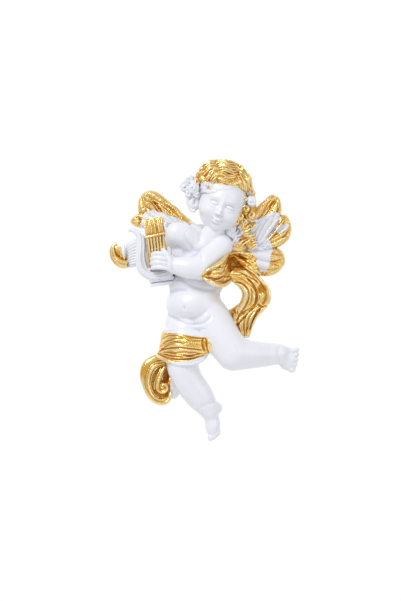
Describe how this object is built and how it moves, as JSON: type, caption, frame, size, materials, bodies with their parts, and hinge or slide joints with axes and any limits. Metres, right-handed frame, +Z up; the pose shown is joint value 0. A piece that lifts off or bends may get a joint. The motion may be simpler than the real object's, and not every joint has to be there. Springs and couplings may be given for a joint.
{
  "type": "wall ornament",
  "caption": "Flat-backed cast wall ornament: a winged cherub in flight playing a lyre, with a flowing scarf and a curled loincloth, painted white with gilding.",
  "frame": {"origin": "on the flat back, behind the ribs, where the ornament bears on the wall", "axes": "+X to the viewer's right, +Y into the wall along the back's outward normal, +Z up; the figure faces -Y"},
  "size_m": [0.1894, 0.0555, 0.2796],
  "materials": {
    "painted_casting": "cast resin under pearly white satin paint, with gold leaf paint brushed over the hair, wing rims, cloth and strings and brown patina left in their recesses"
  },
  "bodies": {
    "root": {"cherub_with_lyre": "painted_casting"}
  },
  "joints": []
}
